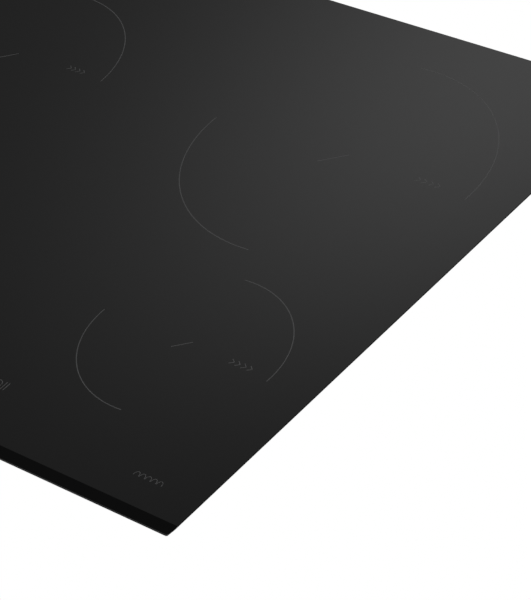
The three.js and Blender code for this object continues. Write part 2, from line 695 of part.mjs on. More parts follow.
/** A clamp claw round its screw; the arm points along +X and its tip is turned up. */
function clampClaw() {
  const { arm, width, thickness, armAt } = CLAMP;
  const half = width / 2;
  const top = armAt + thickness;
  const hub = disc(half, armAt - CLAMP_HUB.below, armAt + CLAMP_HUB.above, { sides: 16 });
  const bar = block([0, -half, armAt], [arm, half, top]);
  const tip = block([arm - CLAMP_TIP.length, -half, armAt], [arm, half, top + CLAMP_TIP.hook]);
  const side = CLAMP_RIB.width / 2;
  const end = arm - CLAMP_RIB.short;
  const rib = block([CLAMP_RIB.from, -side, top - SINK], [end, side, top + CLAMP_RIB.height]);
  const low = armAt - CLAMP_HUB.below - PAST;
  const high = armAt + CLAMP_HUB.above + PAST;
  const bore = disc(CLAMP_SCREW.radius + GAP, low, high, { sides: 12 });
  return cut(join([hub, bar, tip, rib]), [bore]);
}

// ---------------------------------------------------------------- assembly

const cooktop = new THREE.Group();
cooktop.name = "induction_cooktop";

function place(name, solid, material, x = 0, y = 0, turn = 0) {
  const mesh = new THREE.Mesh(geometryOf(solid), material);
  mesh.name = name;
  mesh.position.set(x, y, 0);
  mesh.rotation.z = turn;
  cooktop.add(mesh);
}

place("glass_top", glassTop(), BLACK_GLASS);
place("seal_strip", underGlass(SEAL), FOAM);
place("glass_bead", underGlass(BEAD), SILICONE);
place("upper_frame", upperFrame(), ZINC_STEEL);
place("electronics_box", electronicsBox(), ZINC_STEEL);
place("exhaust_grille", exhaustGrille(), BLACK_PLASTIC);
place("coil_tray", coilTray(), ALUMINIUM);

for (const zone of ZONES) {
  place(`coil_ferrites_${zone.name}`, ferriteStar(zone), FERRITE_GREY, zone.x, zone.y);
  place(`coil_carrier_${zone.name}`, coilCarrier(zone), CARRIER_PLASTIC, zone.x, zone.y);
  place(`coil_winding_${zone.name}`, winding(zone), COPPER, zone.x, zone.y);
  place(`coil_insulation_${zone.name}`, micaSheet(zone), MICA_SHEET, zone.x, zone.y);
  place(`sensor_${zone.name}`, sensorPlunger(), SENSOR_WHITE, zone.x, zone.y);
  place(`sensor_spring_${zone.name}`, sensorSpring(), SPRING_STEEL, zone.x, zone.y);
}

for (const fan of FANS) {
  place(`inlet_grille_${fan.name}`, inletGrille(), BLACK_PLASTIC, fan.x, fan.y);
  place(`fan_housing_${fan.name}`, fanVolute(), BLACK_PLASTIC, fan.x, fan.y);
  place(`fan_impeller_${fan.name}`, impeller(), BLACK_PLASTIC, fan.x, fan.y);
}

place("power_board_left", powerBoard(-1), CIRCUIT_BOARD);
place("power_board_right", powerBoard(1), CIRCUIT_BOARD);
place("heatsink_left", heatsink(), ALUMINIUM, -POWER_BOARD.x, HEATSINK.y);
place("heatsink_right", heatsink(), ALUMINIUM, POWER_BOARD.x, HEATSINK.y);
place("filter_board", filterBoard(), CIRCUIT_BOARD, FILTER_BOARD.x, FILTER_BOARD.y);
place("filter_choke", filterChoke(), FERRITE_GREY, CHOKE.x, CHOKE.y);
place("touch_holder", touchHolder(), BLACK_PLASTIC, 0, TOUCH.y);
place("touch_board", touchBoard(), CIRCUIT_BOARD, 0, TOUCH.y);
place("terminal_block", terminalBlock(), TERMINAL_PLASTIC);
place("terminal_cover", terminalCover(), BLACK_PLASTIC);
place("cable_gland", cableGland(), BLACK_PLASTIC);

for (const { name, side, end } of CLAMPS) {
  const x = side * CLAMP.x;
  const y = end * CLAMP.spread;
  // Stowed, each arm lies along the side, towards the middle of the hob.
  place(`clamp_claw_${name}`, clampClaw(), SPRING_STEEL, x, y, (-end * Math.PI) / 2);
  const clampScrew = screw(CLAMP_SCREW, CLAMP_SCREW.headAt, CLAMP_SCREW.top);
  place(`clamp_screw_${name}`, clampScrew, ZINC_STEEL, x, y);
  const headAt = BOX.top - BOX.sheet - GAP - BOX_SCREW.headHeight;
  const boxScrew = screw(BOX_SCREW, headAt, TRAY.floor - GAP);
  place(`box_screw_${name}`, boxScrew, ZINC_STEEL, side * BOX_SCREW.x, end * BOX_SCREW.y);
}

export default cooktop;
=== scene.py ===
"""Looks of a built-in induction cooktop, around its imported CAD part. Metres, +Z up, the user's side at -Y."""
import json
import math

import bmesh
import bpy
from mathutils import Matrix, Vector

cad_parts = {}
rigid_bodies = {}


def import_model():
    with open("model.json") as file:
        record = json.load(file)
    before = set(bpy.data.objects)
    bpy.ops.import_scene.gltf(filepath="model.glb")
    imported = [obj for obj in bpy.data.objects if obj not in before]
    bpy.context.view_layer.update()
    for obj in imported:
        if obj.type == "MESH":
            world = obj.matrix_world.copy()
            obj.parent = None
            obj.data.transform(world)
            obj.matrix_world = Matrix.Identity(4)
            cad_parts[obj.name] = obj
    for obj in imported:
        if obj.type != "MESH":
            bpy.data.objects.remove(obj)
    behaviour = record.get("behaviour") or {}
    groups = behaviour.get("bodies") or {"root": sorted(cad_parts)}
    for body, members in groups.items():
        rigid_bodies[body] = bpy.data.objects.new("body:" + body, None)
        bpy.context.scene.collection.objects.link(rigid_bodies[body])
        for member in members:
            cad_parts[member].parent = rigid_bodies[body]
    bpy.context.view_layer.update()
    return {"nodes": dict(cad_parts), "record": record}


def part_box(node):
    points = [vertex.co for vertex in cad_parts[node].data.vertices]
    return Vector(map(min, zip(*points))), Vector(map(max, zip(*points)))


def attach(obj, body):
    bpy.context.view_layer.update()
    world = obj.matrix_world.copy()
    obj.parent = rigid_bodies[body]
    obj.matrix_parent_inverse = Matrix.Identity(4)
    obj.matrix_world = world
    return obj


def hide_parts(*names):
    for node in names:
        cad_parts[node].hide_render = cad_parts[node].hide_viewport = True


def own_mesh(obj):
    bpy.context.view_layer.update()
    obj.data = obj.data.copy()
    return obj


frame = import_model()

MM = 0.001
NODES = frame["nodes"]

# ---------------------------------------------------------------- driving values

# Camera: a long lens looking down at the front right corner.
LENS = 164.2
CAMERA_AT = Vector((1.2178, -1.0674, 1.1611))
AZIMUTH = math.radians(44.987)
ELEVATION = math.radians(37.744)
ROLL = math.radians(-10.336)

# Glass plate. Its printed marks finish flush with the CAD surface.
GLASS_TOP = 52.0
PRINT = 0.02
GLASS = {
    "width": 590,
    "depth": 520,
    "thickness": 4,
    "corner": 4.5,
    "arris": 0.4,
    "land": 0.2,
    "undercut": 3.4,
}
FACET = {"run": 7.7, "drop": 2.2, "nose": 1.6, "tuck": 0.2}

# Printed cooking zones. The left arc turns about centre, the right one about right_centre from right_start.
ZONES = {
    "front_right": {
        "centre": (186.0, -115.6),
        "right_centre": (186.0, -115.6),
        "right_start": -3.0,
        "radius": 72.0,
        "tick_at": (184.9, -117.3),
        "tick": 14.4,
        "boost_at": (233.6, -114.7),
        "boost": 20.0,
    },
    "rear_right": {
        "centre": (150.1, 94.4),
        "right_centre": (147.3, 104.7),
        "right_start": -3.0,
        "radius": 111.4,
        "tick_at": (147.1, 95.6),
        "tick": 22.6,
        "boost_at": (225.0, 103.1),
        "boost": 22.5,
    },
    "rear_left": {
        "centre": (-161.3, 87.3),
        "right_centre": (-161.3, 87.3),
        "right_start": 3.1,
        "radius": 89.8,
        "tick_at": (-162.4, 85.6),
        "tick": 18.0,
        "boost_at": (-98.9, 95.7),
        "boost": 18.0,
    },
    "front_left": {
        "centre": (-165.0, -105.0),
        "right_centre": (-165.0, -105.0),
        "right_start": -3.0,
        "radius": 80.0,
        "tick_at": (-166.1, -106.7),
        "tick": 16.0,
        "boost_at": (-111.5, -104.0),
        "boost": 20.0,
    },
}
STROKE = 0.65
RIGHT_END = 95.5
LEFT_ARC = (179.0, 275.0)
TICK_ANGLE = 46.0
BOOST_HEIGHT = 4.8

# The row of loops near the front right corner.
COIL_SIGN = {
    "left": 239.4,
    "base": -230.2,
    "loops": 5,
    "pitch": 4.7,
    "half_width": 2.068,
    "height": 3.6,
    "line": 0.45,
    "steps": 20,
}

# Printed touch strip, from left to right.
CONTROLS = {
    "y": -207.6,
    "height": 7.6,
    "line": 0.6,
    "sign": 3.4,
    "power": -104.0,
    "zones": -82.0,
    "zone_pitch": 16.0,
    "slider": -14.0,
    "bars": 24,
    "bar_pitch": 4.3,
    "timer": 101.6,
    "pause": (107.4, 109.8),
}

# Wound wires: pitch and fill are shares of the wire's thickness and of the pitch.
WINDING = {"inner": 16.0, "pitch": 1.96, "fill": 0.47, "steps": 40}
SPRING = {"wire": 0.4, "turns": 4.5, "closed": 0.75, "steps": 24, "travel": 2.0}

# Light that the glass mirrors: one long soft light, and a wide dim glow around it.
SOFTBOX = {
    "towards": Vector((-0.4986, 0.6651, 0.5559)),
    "narrow": Vector((0.6476, -0.1665, 0.7435)),
    "long": Vector((-0.5178, -0.8121, 0.2691)),
    "narrow_width": 0.082,
    "long_width": 0.149,
    "strength": 0.62,
}
GLOW = {"towards": Vector((-0.559, 0.5593, 0.6121)), "width": 0.30, "strength": 0.107}
HORIZON = {"width": 0.16, "strength": 0.75}
BASE_LIGHT = 0.075
FLOOR_LIGHT = 0.35
WHITE = (1, 1, 1, 1)

# Heights between which a circuit board shows the parts on it and not its own face.
PARTS_BAND = (5.65, 41.5)

# Lamps: direction from the hob, diameter in metres, power in watts.
LAMP_DISTANCE = 2.4
LAMPS = {
    "key_lamp": ((-0.25, -0.82, 0.42), 1.8, 26),
    "side_lamp": ((0.86, 0.26, 0.40), 1.6, 10),
    "rear_lamp": ((0.10, 0.85, 0.55), 1.6, 12),
}


# Radius, in millimetres, that the edges of CAD nodes get by material.
EDGE_RADIUS = {
    "black_glass": 0.2,
    "foam": 0.4,
    "silicone": 0.3,
    "zinc_steel": 0.35,
    "aluminium": 0.25,
    "black_plastic": 0.3,
    "copper": 0.3,
    "carrier_plastic": 0.3,
    "ferrite": 0.4,
    "mica": 0.1,
    "sensor_ceramic": 0.25,
    "spring_steel": 0.3,
    "circuit_board": 0.2,
    "terminal_plastic": 0.35,
}


# ---------------------------------------------------------------- camera and stage


def make_camera():
    """The camera's axes from its azimuth, elevation and roll."""
    forward = Vector(
        (
            -math.sin(AZIMUTH) * math.cos(ELEVATION),
            math.cos(AZIMUTH) * math.cos(ELEVATION),
            -math.sin(ELEVATION),
        )
    )
    level = Vector((math.cos(AZIMUTH), math.sin(AZIMUTH), 0))
    upright = level.cross(forward)
    right = math.cos(ROLL) * level + math.sin(ROLL) * upright
    up = math.cos(ROLL) * upright - math.sin(ROLL) * level
    data = bpy.data.cameras.new("camera")
    data.lens = LENS
    data.clip_start = 0.05
    camera = bpy.data.objects.new("camera", data)
    camera.matrix_world = Matrix.Translation(CAMERA_AT) @ Matrix((right, up, -forward)).transposed().to_4x4()
    bpy.context.scene.collection.objects.link(camera)
    bpy.context.scene.camera = camera


class Graph:
    """Shorthand for adding shader nodes to one node tree."""

    def __init__(self, tree):
        self.tree = tree
        tree.nodes.clear()

    def node(self, kind, **settings):
        made = self.tree.nodes.new(kind)
        for name, value in settings.items():
            setattr(made, name, value)
        return made

    def put(self, value, socket):
        """Sets a socket, or links another socket to it."""
        if isinstance(value, bpy.types.NodeSocket):
            self.tree.links.new(value, socket)
        else:
            socket.default_value = value

    def maths(self, operation, first, second=0.0, third=0.0, clamp=False):
        made = self.node("ShaderNodeMath", operation=operation, use_clamp=clamp)
        for value, socket in zip((first, second, third), made.inputs):
            self.put(value, socket)
        return made.outputs[0]

    def dot(self, vector, axis):
        made = self.node("ShaderNodeVectorMath", operation="DOT_PRODUCT")
        self.put(vector, made.inputs[0])
        made.inputs[1].default_value = axis
        return made.outputs["Value"]

    def mix(self, share, first, second):
        """A blend of two colours."""
        made = self.node("ShaderNodeMix", data_type="RGBA")
        self.put(share, made.inputs["Factor"])
        self.put(first, made.inputs["A"])
        self.put(second, made.inputs["B"])
        return made.outputs["Result"]

    def ramp(self, value, low, high, to_low=0.0, to_high=1.0, smooth=False):
        made = self.node("ShaderNodeMapRange")
        if smooth:
            made.interpolation_type = "SMOOTHSTEP"
        for amount, name in zip(
            (value, low, high, to_low, to_high), ("Value", "From Min", "From Max", "To Min", "To Max")
        ):
            self.put(amount, made.inputs[name])
        return made.outputs["Result"]

    def noise(self, where, scale, detail=2.0, stretch=None):
        """Noise of about 1/scale metres, stretched along the axes if asked."""
        if stretch:
            where = self.stretched(where, stretch)
        made = self.node("ShaderNodeTexNoise")
        self.put(where, made.inputs["Vector"])
        made.inputs["Scale"].default_value = scale
        made.inputs["Detail"].default_value = detail
        return made.outputs["Fac"]

    def cells(self, where, scale, feature="F1", output="Color", stretch=None):
        if stretch:
            where = self.stretched(where, stretch)
        made = self.node("ShaderNodeTexVoronoi", feature=feature)
        self.put(where, made.inputs["Vector"])
        made.inputs["Scale"].default_value = scale
        return made.outputs[output]

    def stretched(self, where, stretch):
        made = self.node("ShaderNodeMapping")
        self.put(where, made.inputs["Vector"])
        made.inputs["Scale"].default_value = stretch
        return made.outputs["Vector"]

    def place(self):
        return self.node("ShaderNodeTexCoord").outputs["Object"]

    def bump(self, height, distance, strength=1.0):
        made = self.node("ShaderNodeBump")
        self.put(height, made.inputs["Height"])
        made.inputs["Distance"].default_value = distance
        made.inputs["Strength"].default_value = strength
        return made.outputs["Normal"]


def make_floor():
    """A white floor that throws no shadow back, and is clear from below."""
    material = bpy.data.materials.new("floor")
    material.use_nodes = True
    g = Graph(material.node_tree)
    path = g.node("ShaderNodeLightPath")
    glow = g.node("ShaderNodeEmission")
    glow.inputs["Color"].default_value = WHITE
    g.put(g.ramp(path.outputs["Is Camera Ray"], 0, 1, FLOOR_LIGHT, 1.0), glow.inputs["Strength"])
    clear = g.node("ShaderNodeBsdfTransparent")
    mixed = g.node("ShaderNodeMixShader")
    g.put(g.node("ShaderNodeNewGeometry").outputs["Backfacing"], mixed.inputs["Fac"])
    g.put(glow.outputs[0], mixed.inputs[1])
    g.put(clear.outputs[0], mixed.inputs[2])
    g.put(mixed.outputs[0], g.node("ShaderNodeOutputMaterial").inputs["Surface"])
    mesh = bpy.data.meshes.new("floor")
    half = 6.0
    level = -1 * MM
    corners = [(-half, -half, level), (half, -half, level), (half, half, level), (-half, half, level)]
    mesh.from_pydata(corners, [], [(0, 1, 2, 3)])
    mesh.materials.append(material)
    floor = bpy.data.objects.new("floor", mesh)
    bpy.context.scene.collection.objects.link(floor)


def make_lamps():
    """Large lamps that shape the housing's sides. They don't light the glass, which would mirror them."""
    lit = bpy.data.collections.new("lit_by_lamps")
    for piece in bpy.context.scene.collection.objects:
        if piece.type == "MESH" and not piece.name.startswith(("glass_", "floor")):
            lit.objects.link(piece)
    for name, (towards, size, power) in LAMPS.items():
        data = bpy.data.lights.new(name, "AREA")
        data.shape = "DISK"
        data.size = size
        data.energy = power
        lamp = bpy.data.objects.new(name, data)
        direction = Vector(towards).normalized()
        lamp.location = direction * LAMP_DISTANCE
        lamp.rotation_euler = direction.to_track_quat("Z", "Y").to_euler()
        lamp.light_linking.receiver_collection = lit
        bpy.context.scene.collection.objects.link(lamp)


def bell(g, offset, width):
    """exp(-(offset / width)^2)"""
    scaled = g.maths("DIVIDE", offset, width)
    return g.maths("EXPONENT", g.maths("MULTIPLY", g.maths("MULTIPLY", scaled, scaled), -1.0))


def make_world():
    """White to the camera. What lights the hob is dark but for the softbox, its glow and a bright horizon."""
    world = bpy.data.worlds.new("studio")
    bpy.context.scene.world = world
    world.use_nodes = True
    g = Graph(world.node_tree)
    direction = g.node("ShaderNodeTexCoord").outputs["Generated"]
    box = SOFTBOX
    across = g.maths("SUBTRACT", g.dot(direction, box["narrow"]), box["towards"].dot(box["narrow"]))
    along = g.maths("SUBTRACT", g.dot(direction, box["long"]), box["towards"].dot(box["long"]))
    facing = g.maths("GREATER_THAN", g.dot(direction, box["towards"]), 0.0)
    soft = g.maths("MULTIPLY", bell(g, across, box["narrow_width"]), bell(g, along, box["long_width"]))
    soft = g.maths("MULTIPLY", g.maths("MULTIPLY", soft, facing), box["strength"])
    # 1 - cos is half the squared angle, which makes the wide glow round.
    apart = g.maths("SUBTRACT", 1.0, g.dot(direction, GLOW["towards"]))
    fall = g.maths("EXPONENT", g.maths("MULTIPLY", apart, -2 / GLOW["width"] ** 2))
    wide = g.maths("MULTIPLY", fall, GLOW["strength"])
    level = bell(g, g.dot(direction, Vector((0, 0, 1))), HORIZON["width"])
    level = g.maths("MULTIPLY", level, HORIZON["strength"])
    light = g.maths("ADD", g.maths("ADD", soft, wide), g.maths("ADD", level, BASE_LIGHT))
    background = g.node("ShaderNodeBackground")
    background.inputs["Color"].default_value = WHITE
    seen = g.node("ShaderNodeLightPath").outputs["Is Camera Ray"]
    g.put(g.ramp(seen, 0, 1, light, 1.0), background.inputs["Strength"])
    g.put(background.outputs[0], g.node("ShaderNodeOutputWorld").inputs["Surface"])
    bpy.context.scene.view_settings.view_transform = "Standard"
    bpy.context.scene.view_settings.look = "None"


# ---------------------------------------------------------------- materials


def material(name):
    """A new node material. Returns it, its graph, its Principled shader and the place on the object."""
    made = bpy.data.materials.new(name)
    made.use_nodes = True
    g = Graph(made.node_tree)
    shader = g.node("ShaderNodeBsdfPrincipled")
    g.put(shader.outputs[0], g.node("ShaderNodeOutputMaterial").inputs["Surface"])
    return made, g, shader, g.place()


def finish_material(g, shader, colour=None, roughness=None, normal=None, metallic=None):
    for name, value in (
        ("Base Color", colour),
        ("Roughness", roughness),
        ("Normal", normal),
        ("Metallic", metallic),
    ):
        if value is not None:
            g.put(value, shader.inputs[name])


def black_glass():
    """Glass ceramic, dyed black, with a polished top and a satin ground edge."""
    made, g, shader, where = material("black_glass")
    cloud = g.noise(where, 9, 3)
    height = g.node("ShaderNodeSeparateXYZ")
    g.put(where, height.inputs[0])
    ground = g.ramp(height.outputs["Z"], (GLASS_TOP - 2.3) * MM, (GLASS_TOP - 2.1) * MM, 1.0, 0.0)
    polish = g.ramp(g.noise(where, 60, 4), 0.3, 0.7, 0.035, 0.06)
    satin = g.ramp(g.noise(where, 900, 2), 0.3, 0.7, 0.4, 0.5)
    polished = g.maths("MULTIPLY", polish, g.maths("SUBTRACT", 1.0, ground))
    roughness = g.maths("ADD", g.maths("MULTIPLY", satin, ground), polished)
    colour = g.mix(cloud, (0.0022, 0.0022, 0.0024, 1), (0.0034, 0.0034, 0.0036, 1))
    finish_material(g, shader, colour, roughness)
    shader.inputs["IOR"].default_value = 1.5
    return made


def print_ink():
    """Grey enamel, fired onto the glass, slightly speckled."""
    made, g, shader, where = material("print_ink")
    speck = g.noise(where, 2500, 2)
    finish_material(
        g,
        shader,
        g.mix(g.ramp(speck, 0.35, 0.65), (0.092, 0.092, 0.093, 1), (0.120, 0.120, 0.122, 1)),
        g.ramp(speck, 0.3, 0.7, 0.45, 0.6),
        g.bump(speck, 0.01 * MM),
    )
    return made


def sheet_metal(name, dark, light, spangle, share, streak, roughness):
    """Rolled metal sheet: crystals of the coat, their share of the pattern, and the mill's fine lines."""
    made, g, shader, where = material(name)
    crystal = g.node("ShaderNodeSeparateColor")
    g.put(g.cells(where, spangle), crystal.inputs[0])
    lines = g.noise(where, streak, 3, stretch=(1, 12, 12))
    crystals = g.maths("MULTIPLY", crystal.outputs[0], share)
    tone = g.maths("ADD", crystals, g.maths("MULTIPLY", lines, 1 - share))
    finish_material(
        g,
        shader,
        g.mix(tone, dark, light),
        g.ramp(tone, 0.2, 0.8, roughness[0], roughness[1]),
        g.bump(g.noise(where, 400, 2), 0.03 * MM),
        1.0,
    )
    return made


def moulded_plastic(name, dark, light, grain, roughness, depth):
    """Moulded plastic with a fine spark-eroded grain and faint flow marks."""
    made, g, shader, where = material(name)
    flow = g.noise(where, 25, 3, stretch=(1, 3, 3))
    pores = g.noise(where, grain, 3)
    finish_material(
        g,
        shader,
        g.mix(g.ramp(flow, 0.3, 0.7), dark, light),
        g.ramp(pores, 0.3, 0.7, roughness[0], roughness[1]),
        g.bump(pores, depth * MM),
    )
    return made


def foam():
    """Closed-cell foam tape: small open cells on a black ground."""
    made, g, shader, where = material("foam")
    cell = g.cells(where, 1400, output="Distance")
    finish_material(
        g,
        shader,
        g.mix(g.ramp(cell, 0.1, 0.6), (0.006, 0.006, 0.006, 1), (0.022, 0.022, 0.023, 1)),
        g.ramp(cell, 0.1, 0.6, 0.98, 0.85),
        g.bump(cell, 0.12 * MM),
    )
    return made


def copper_litz():
    """Bundled enamelled strands that twist round the wire, with painted shade: the copper is darker in the
    grooves between strands.
    """
    made, g, shader, where = material("copper_litz")
    strand = g.node("ShaderNodeTexWave", bands_direction="DIAGONAL")
    g.put(where, strand.inputs["Vector"])
    strand.inputs["Scale"].default_value = 420
    strand.inputs["Distortion"].default_value = 1.5
    twist = strand.outputs["Fac"]
    # Painted shade: the copper colour follows the strands' height, dark in the grooves between strands and
    # bright on their crests.
    finish_material(
        g,
        shader,
        g.mix(twist, (0.25, 0.055, 0.018, 1), (0.72, 0.27, 0.12, 1)),
        g.ramp(twist, 0, 1, 0.45, 0.25),
        g.bump(twist, 0.12 * MM),
        0.9,
    )
    return made


def mica():
    """Pressed mica: overlapping pale flakes in a tan binder."""
    made, g, shader, where = material("mica")
    flake = g.node("ShaderNodeSeparateColor")
    g.put(g.cells(where, 260), flake.inputs[0])
    dust = g.noise(where, 1200, 3)
    tone = g.maths("ADD", g.maths("MULTIPLY", flake.outputs[0], 0.6), g.maths("MULTIPLY", dust, 0.4))
    finish_material(
        g,
        shader,
        g.mix(tone, (0.30, 0.22, 0.13, 1), (0.62, 0.53, 0.38, 1)),
        g.ramp(tone, 0.2, 0.8, 0.6, 0.3),
        g.bump(tone, 0.05 * MM),
    )
    return made


def circuit_board():
    """Green solder mask with paler copper tracks, and parts of several colours standing on it."""
    made, g, shader, where = material("circuit_board")
    tracks = g.node("ShaderNodeTexBrick")
    g.put(where, tracks.inputs["Vector"])
    tracks.inputs["Scale"].default_value = 60
    tracks.inputs["Mortar Size"].default_value = 0.03
    tracks.inputs["Color1"].default_value = (0.010, 0.085, 0.035, 1)
    tracks.inputs["Color2"].default_value = (0.014, 0.105, 0.045, 1)
    tracks.inputs["Mortar"].default_value = (0.05, 0.22, 0.08, 1)
    part = g.node("ShaderNodeSeparateColor")
    g.put(g.cells(where, 40), part.inputs[0])
    casing = g.mix(part.outputs[0], (0.012, 0.012, 0.013, 1), (0.10, 0.16, 0.28, 1))
    facing = g.node("ShaderNodeSeparateXYZ")
    g.put(g.node("ShaderNodeNewGeometry").outputs["Position"], facing.inputs[0])
    above = g.maths("GREATER_THAN", facing.outputs["Z"], PARTS_BAND[0] * MM)
    below = g.maths("LESS_THAN", facing.outputs["Z"], PARTS_BAND[1] * MM)
    finish_material(
        g,
        shader,
        g.mix(g.maths("MULTIPLY", above, below), tracks.outputs["Color"], casing),
        g.ramp(g.noise(where, 300, 2), 0.3, 0.7, 0.3, 0.45),
        g.bump(tracks.outputs["Fac"], 0.05 * MM),
    )
    return made


def ferrite():
    """Sintered ferrite: dark grey, dense and faintly speckled."""
    made, g, shader, where = material("ferrite")
    speck = g.noise(where, 1800, 4)
    finish_material(
        g,
        shader,
        g.mix(g.ramp(speck, 0.3, 0.7), (0.022, 0.022, 0.024, 1), (0.055, 0.054, 0.055, 1)),
        g.ramp(speck, 0.3, 0.7, 0.4, 0.65),
        g.bump(speck, 0.06 * MM),
    )
    return made


GREY = {
    "zinc_dark": (0.46, 0.47, 0.48, 1),
    "zinc_light": (0.66, 0.67, 0.68, 1),
    "mill_dark": (0.55, 0.56, 0.57, 1),
    "mill_light": (0.78, 0.78, 0.79, 1),
}


def make_materials():
    return {
        "black_glass": black_glass(),
        "foam": foam(),
        "silicone": moulded_plastic(
            "silicone", (0.05, 0.05, 0.05, 1), (0.09, 0.09, 0.09, 1), 700, (0.35, 0.5), 0.05
        ),
        "zinc_steel": sheet_metal(
            "zinc_steel", GREY["zinc_dark"], GREY["zinc_light"], 480, 0.34, 90, (0.36, 0.48)
        ),
        "aluminium": sheet_metal(
            "aluminium", GREY["mill_dark"], GREY["mill_light"], 900, 0.08, 250, (0.30, 0.40)
        ),
        "spring_steel": sheet_metal(
            "spring_steel", (0.25, 0.25, 0.26, 1), (0.45, 0.45, 0.46, 1), 900, 0.1, 300, (0.25, 0.4)
        ),
        "black_plastic": moulded_plastic(
            "black_plastic", (0.010, 0.010, 0.011, 1), (0.018, 0.018, 0.019, 1), 1600, (0.42, 0.6), 0.04
        ),
        "carrier_plastic": moulded_plastic(
            "carrier_plastic", (0.16, 0.15, 0.13, 1), (0.24, 0.22, 0.19, 1), 1300, (0.5, 0.65), 0.05
        ),
        "terminal_plastic": moulded_plastic(
            "terminal_plastic", (0.55, 0.54, 0.50, 1), (0.66, 0.65, 0.61, 1), 1500, (0.35, 0.5), 0.03
        ),
        "sensor_ceramic": moulded_plastic(
            "sensor_ceramic", (0.70, 0.69, 0.66, 1), (0.82, 0.81, 0.79, 1), 2200, (0.3, 0.45), 0.02
        ),
        "copper": copper_litz(),
        "mica": mica(),
        "ferrite": ferrite(),
        "circuit_board": circuit_board(),
        "print_ink": print_ink(),
    }


# ---------------------------------------------------------------- mesh helpers


def add_piece(name, mesh, finish, body):
    """Links a finished mesh as one piece that rides on a CAD body."""
    mesh.materials.clear()
    mesh.materials.append(finish)
    piece = bpy.data.objects.new(name, mesh)
    bpy.context.scene.collection.objects.link(piece)
    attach(piece, body)
    return piece


def rounded_outline(width, depth, corner, steps):
    """Points of a rounded rectangle round the origin, counter-clockwise."""
    points = []
    for turn, (sx, sy) in enumerate(((1, 1), (-1, 1), (-1, -1), (1, -1))):
        for i in range(steps + 1):
            angle = (turn + i / steps) * math.pi / 2
            x = sx * (width / 2 - corner) + corner * math.cos(angle)
            y = sy * (depth / 2 - corner) + corner * math.sin(angle)
            points.append((x, y))
    return points


def lofted(rings):
    """A closed skin through rings of equally many points, in millimetres."""
    mesh = bmesh.new()
    loops = [[mesh.verts.new(Vector(p) * MM) for p in ring] for ring in rings]
    for lower, upper in zip(loops, loops[1:]):
        for i in range(len(lower)):
            j = (i + 1) % len(lower)
            mesh.faces.new((lower[i], lower[j], upper[j], upper[i]))
    mesh.faces.new(list(reversed(loops[0])))
    mesh.faces.new(loops[-1])
    bmesh.ops.recalc_face_normals(mesh, faces=mesh.faces)
    return mesh


def slice_off(mesh, point, normal):
    """Takes off what lies beyond a plane, and closes the cut with one face."""
    geometry = [*mesh.verts, *mesh.edges, *mesh.faces]
    made = bmesh.ops.bisect_plane(mesh, geom=geometry, plane_co=point, plane_no=normal, clear_outer=True)
    rim = [part for part in made["geom_cut"] if isinstance(part, bmesh.types.BMEdge)]
    bmesh.ops.edgeloop_fill(mesh, edges=rim)


# ---------------------------------------------------------------- glass and its print


def glass_rings():
    """Outlines of the glass from the surface down: arris, upright land, ground undercut and front nose."""
    width, depth, thickness = GLASS["width"], GLASS["depth"], GLASS["thickness"]
    arris, undercut = GLASS["arris"], GLASS["undercut"]
    edge = arris + GLASS["land"]
    nose = FACET["drop"] + FACET["nose"]
    slope = undercut / (thickness - edge)
    steps = 8
    # Each layer: how far it lies below the surface, and how far in from the sides and from the front.
    layers = [(0, arris + 0.1, 0)]
    for i in range(steps + 1):
        angle = i / steps * math.pi / 2
        layers.append((arris * (1 - math.cos(angle)), arris * (1 - math.sin(angle)), 0))
    layers.append((edge, 0, 0))
    layers.append((nose, (nose - edge) * slope, 0))
    layers.append((thickness, undercut, FACET["tuck"]))
    rings = []
    for below, side, front in layers:
        outline = rounded_outline(width - 2 * side, depth - side - front, GLASS["corner"] - side, 8)
        height = GLASS_TOP - max(below, PRINT)
        rings.append([(x, y + (front - side) / 2, height) for x, y in outline])
    return rings


def make_glass(finish):
    """The glass plate, with its front facet cut straight across."""
    mesh = lofted(glass_rings())
    front = Vector((0, -GLASS["depth"] / 2, GLASS_TOP - FACET["drop"])) * MM
    slice_off(mesh, front, Vector((0, -FACET["drop"], FACET["run"])))
    data = bpy.data.meshes.new("glass_plate")
    mesh.to_mesh(data)
    mesh.free()
    data.shade_smooth()
    data.set_sharp_from_angle(angle=math.radians(12.5))
    glass = add_piece("glass_plate", data, finish, "root")
    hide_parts("glass_top")


class Print:
    """Collects flat printed strokes on the glass as one mesh, in millimetres."""

    def __init__(self):
        self.mesh = bmesh.new()

    def stroke(self, points, width=STROKE):
        """A thin raised line along points (x, y)."""
        left, right = [], []
        for i, here in enumerate(points):
            before = Vector(points[max(i - 1, 0)])
            after = Vector(points[min(i + 1, len(points) - 1)])
            side = (after - before).normalized().orthogonal() * (width / 2)
            left.append(Vector(here) + side)
            right.append(Vector(here) - side)
        self.fill(left + right[::-1])

    def fill(self, outline):
        """A flat raised patch inside an outline (x, y)."""
        low = [self.mesh.verts.new((x * MM, y * MM, (GLASS_TOP - PRINT) * MM)) for x, y in outline]
        high = [self.mesh.verts.new((x * MM, y * MM, GLASS_TOP * MM)) for x, y in outline]
        count = len(outline)
        for i in range(count):
            j = (i + 1) % count
            self.mesh.faces.new((low[i], low[j], high[j], high[i]))
        # A stroke is two rows of points, so it is capped in pairs; this keeps long curved strokes clean.
        for i in range(count // 2 - 1):
            j = count - 1 - i
            self.mesh.faces.new((high[i], high[i + 1], high[j - 1], high[j]))
            self.mesh.faces.new((low[i], low[j], low[j - 1], low[i + 1]))

    def arc(self, x, y, radius, start, end, width=STROKE):
        steps = max(8, int(abs(end - start) / 2.5))
        angles = [math.radians(start + (end - start) * i / steps) for i in range(steps + 1)]
        self.stroke([(x + radius * math.cos(a), y + radius * math.sin(a)) for a in angles], width)

    def piece(self, name, finish):
        bmesh.ops.recalc_face_normals(self.mesh, faces=self.mesh.faces)
        data = bpy.data.meshes.new(name)
        self.mesh.to_mesh(data)
        self.mesh.free()
        return add_piece(name, data, finish, "root")


